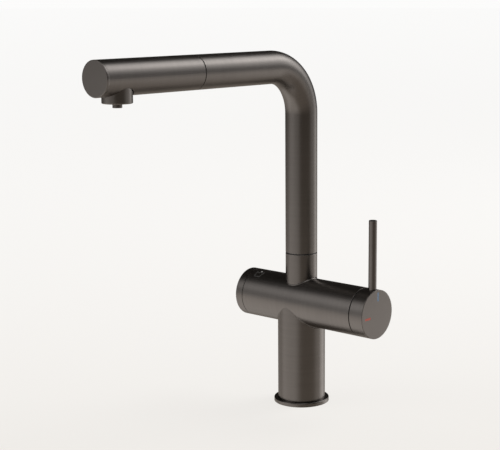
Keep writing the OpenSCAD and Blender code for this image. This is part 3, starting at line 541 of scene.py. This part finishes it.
def make_materials():
    return {
        "gunmetal_z": gunmetal("gunmetal_z", round_axis(Z)),
        "gunmetal_y": gunmetal("gunmetal_y", round_axis(Y), edge=FINE_EDGE_R),
        "gunmetal_x": gunmetal("gunmetal_x", round_axis(X), edge=bar_end_rims),
        "gunmetal_end": gunmetal("gunmetal_end", round_axis(Y), edge=RIM_EDGE_R),
        "gunmetal_cast": gunmetal("gunmetal_cast", round_casting, edge=CAST_EDGE_R),
        "gunmetal_spout": gunmetal("gunmetal_spout", round_spout),
        "gunmetal_nozzle": gunmetal("gunmetal_nozzle", round_axis(Z), rough=NOZZLE_ROUGH),
        "brass": metal("brass", BRASS, BRASS_ROUGH, Z),
        "brass_x": metal("brass_x", BRASS, BRASS_ROUGH, X),
        "brass_y": metal("brass_y", BRASS, BRASS_ROUGH, Y),
        "steel": metal("steel", STEEL, STEEL_ROUGH, Z),
        "thread_shank": metal("thread_shank", STEEL, THREAD_ROUGH, Z, pitch=SHANK_PITCH),
        "thread_screw": metal("thread_screw", STEEL, THREAD_ROUGH, Z, pitch=SCREW_PITCH, apart=SCREW_APART),
        "rubber": moulded("rubber", (0.018, 0.018, 0.019), rough=0.6),
        "white_pom": moulded("white_pom", (0.72, 0.71, 0.67), rough=0.42),
        "black_pom": moulded("black_pom", (0.02, 0.02, 0.021), rough=0.45),
        "grey_pom": moulded("grey_pom", (0.32, 0.29, 0.27), rough=0.45),
        "ceramic": moulded("ceramic", (0.8, 0.76, 0.66), rough=0.2, grains_per_m=CERAMIC_GRAINS_PER_M),
        "hose": braided("hose", Z, BODY_AXIS),
        "hose_y": braided("hose_y", Y, SPOUT_AXIS),
        "cold_enamel": moulded("cold_enamel", (0.09, 0.145, 0.22), rough=0.5),
        "hot_enamel": moulded("hot_enamel", (0.29, 0.05, 0.03), rough=0.5),
        "print": moulded("print", (0.07, 0.067, 0.064), rough=0.5, specular=PAINT_SPECULAR),
        "print_drop": moulded("print_drop", (0.24, 0.235, 0.225), rough=0.5, specular=PAINT_SPECULAR),
    }


# The nodes that wear another material than the one named as their slot in the record
MADE_OF = {
    "gunmetal_cast": ["body_casting"],
    "gunmetal_z": ["base_ring", "lever_rod", "aerator_housing"],
    "gunmetal_x": ["mixer_cap", "filter_knob"],
    "gunmetal_spout": ["spout_tube"],
    "gunmetal_y": ["spray_shell"],
    "gunmetal_end": ["spray_end_cap"],
    "gunmetal_nozzle": ["filter_nozzle"],
    "brass_x": ["cartridge_nut", "cartridge_spindle", "filter_valve_body", "filter_spindle"],
    "brass_y": ["hose_connector"],
    "thread_shank": ["mounting_shank"],
    "thread_screw": ["clamp_screws"],
    "grey_pom": ["filter_glide_ring"],
    "black_pom": ["spray_core"],
    "hose_y": ["hose_spout_run", "hose_tail"],
}


def dress_nodes(made):
    dress = {part["node"]: part["material_slot"] for part in frame["record"]["subparts"]}
    for material, names in MADE_OF.items():
        for name in names:
            dress[name] = material
    for name, obj in nodes.items():
        obj.data.materials.clear()
        obj.data.materials.append(made[dress[name]])


# ---------------------------------------------------------------- blends of column and neck into the crossbar

BLEND_R = 1.4 * MM
BLEND_TURNS = 180
BLEND_STEPS = 8
BLEND_ROOT = 1.3  # distance of the edge hidden in the metal from the rolled ball's centre, in BLEND_R


def add_piece(name, bm, material, smooth=True):
    """A new piece that rides on the tap's body."""
    mesh = bpy.data.meshes.new(name)
    bmesh.ops.recalc_face_normals(bm, faces=bm.faces)
    bm.to_mesh(mesh)
    bm.free()
    mesh.materials.append(material)
    for face in mesh.polygons:
        face.use_smooth = smooth
    piece = bpy.data.objects.new(name, mesh)
    bpy.context.scene.collection.objects.link(piece)
    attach(piece, "body")


def make_blend(name, radius, side, material):
    """Concave blend of an upright cylinder into the crossbar, as a ball rolled round their joint leaves it.

    side is 1 above the crossbar and -1 below it.
    """
    bm = bmesh.new()
    rings = []
    for i in range(BLEND_TURNS):
        angle = 2 * math.pi * i / BLEND_TURNS
        out = Vector((math.cos(angle), math.sin(angle), 0))
        y = (radius + BLEND_R) * out.y
        rise = side * math.sqrt((BAR_R + BLEND_R) ** 2 - y ** 2)
        ball = Vector(((radius + BLEND_R) * out.x, y, BAR_Z + rise))
        to_upright = -out
        to_bar = -Vector((0, y, rise)).normalized()
        wedge = to_upright.angle(to_bar)
        ring = []
        for step in range(BLEND_STEPS + 1):
            share = step / BLEND_STEPS
            aim = to_upright * math.sin((1 - share) * wedge) + to_bar * math.sin(share * wedge)
            ring.append(bm.verts.new(ball + aim.normalized() * BLEND_R))
        ring.append(bm.verts.new(ball + (to_upright + to_bar).normalized() * BLEND_R * BLEND_ROOT))
        rings.append(ring)
    for a, b in zip(rings, rings[1:] + rings[:1]):
        for k in range(len(a)):
            j = (k + 1) % len(a)
            bm.faces.new((a[k], b[k], b[j], a[j]))
    add_piece(name, bm, material)


# ---------------------------------------------------------------- print on the crossbar

# A tumbler with a drop over it, drawn on the unrolled crossbar: across runs along the bar, down round its front
GLASS_X = -48.7 * MM
GLASS_TURN = math.radians(25.2)
GLASS_H = 7.6 * MM
RIM_HALF = 4.6 * MM
FOOT_HALF = 3.35 * MM
LINE_W = 0.65 * MM
WATER_DIP = 1.9 * MM
WATER_DIP_AT = -FOOT_HALF / 3
WATER_LINE_W = 0.8 * LINE_W
DROP_UP = 0.9 * MM
DROP_R = 0.9 * MM
DROP_TIP = 0.7  # how much longer the drop is towards its tip, in DROP_R
DROP_POINTS = 24
PRINT_RISE = 0.03 * MM
STEPS_PER_LINE = 8


def on_bar(across, down):
    angle = GLASS_TURN + down / BAR_R
    radius = BAR_R + PRINT_RISE
    return Vector((GLASS_X + across, -radius * math.sin(angle), BAR_Z + radius * math.cos(angle)))


def stroke(bm, points, width):
    """A line of even width through the points, mitred at its corners."""
    points = [Vector(p) for p in points]
    sides = []
    for i, point in enumerate(points):
        before = (point - points[i - 1]).normalized() if i else None
        after = (points[i + 1] - point).normalized() if i + 1 < len(points) else None
        before, after = before or after, after or before
        normal = Vector((-before.y - after.y, before.x + after.x)).normalized()
        reach = width / 2 / normal.dot(Vector((-after.y, after.x)))
        sides.append((point + normal * reach, point - normal * reach))
    for (a, b), (c, d) in zip(sides, sides[1:]):
        rows = []
        for step in range(STEPS_PER_LINE + 1):
            share = step / STEPS_PER_LINE
            rows.append([bm.verts.new(on_bar(*p.lerp(q, share))) for p, q in ((a, c), (b, d))])
        for (p, q), (r, t) in zip(rows, rows[1:]):
            bm.faces.new((p, q, t, r))


def make_glass(material):
    """The outline of the glass and the line of the water in it."""
    rim, foot = -GLASS_H / 2, GLASS_H / 2
    bm = bmesh.new()
    stroke(bm, [(-RIM_HALF, rim), (-FOOT_HALF, foot), (FOOT_HALF, foot), (RIM_HALF, rim)], LINE_W)
    stroke(bm, [(-RIM_HALF, rim), (WATER_DIP_AT, rim + WATER_DIP), (RIM_HALF, rim)], WATER_LINE_W)
    add_piece("glass_print", bm, material, smooth=False)


def make_drop(material):
    """The drop over the glass."""
    centre = -GLASS_H / 2 - DROP_UP
    bm = bmesh.new()
    outline = []
    for i in range(DROP_POINTS):
        angle = 2 * math.pi * i / DROP_POINTS
        pull = 1 + DROP_TIP * max(0.0, math.cos(angle)) ** 3
        outline.append(bm.verts.new(on_bar(DROP_R * math.sin(angle), centre - DROP_R * pull * math.cos(angle))))
    bm.faces.new(outline)
    add_piece("drop_print", bm, material, smooth=False)


make_camera()
make_world()
make_floor()
make_lamp("key", azimuth=66, elevation=42, distance=2.2, size=1.2, power=30)
make_lamp("fill", azimuth=-135, elevation=30, distance=2.6, size=1.6, power=18)
materials = make_materials()
dress_nodes(materials)
make_blend("neck_blend", TUBE_R, 1, materials["gunmetal_z"])
make_blend("column_blend", COLUMN_R, -1, materials["gunmetal_z"])
make_glass(materials["print"])
make_drop(materials["print_drop"])

bpy.context.scene.view_settings.view_transform = "Standard"
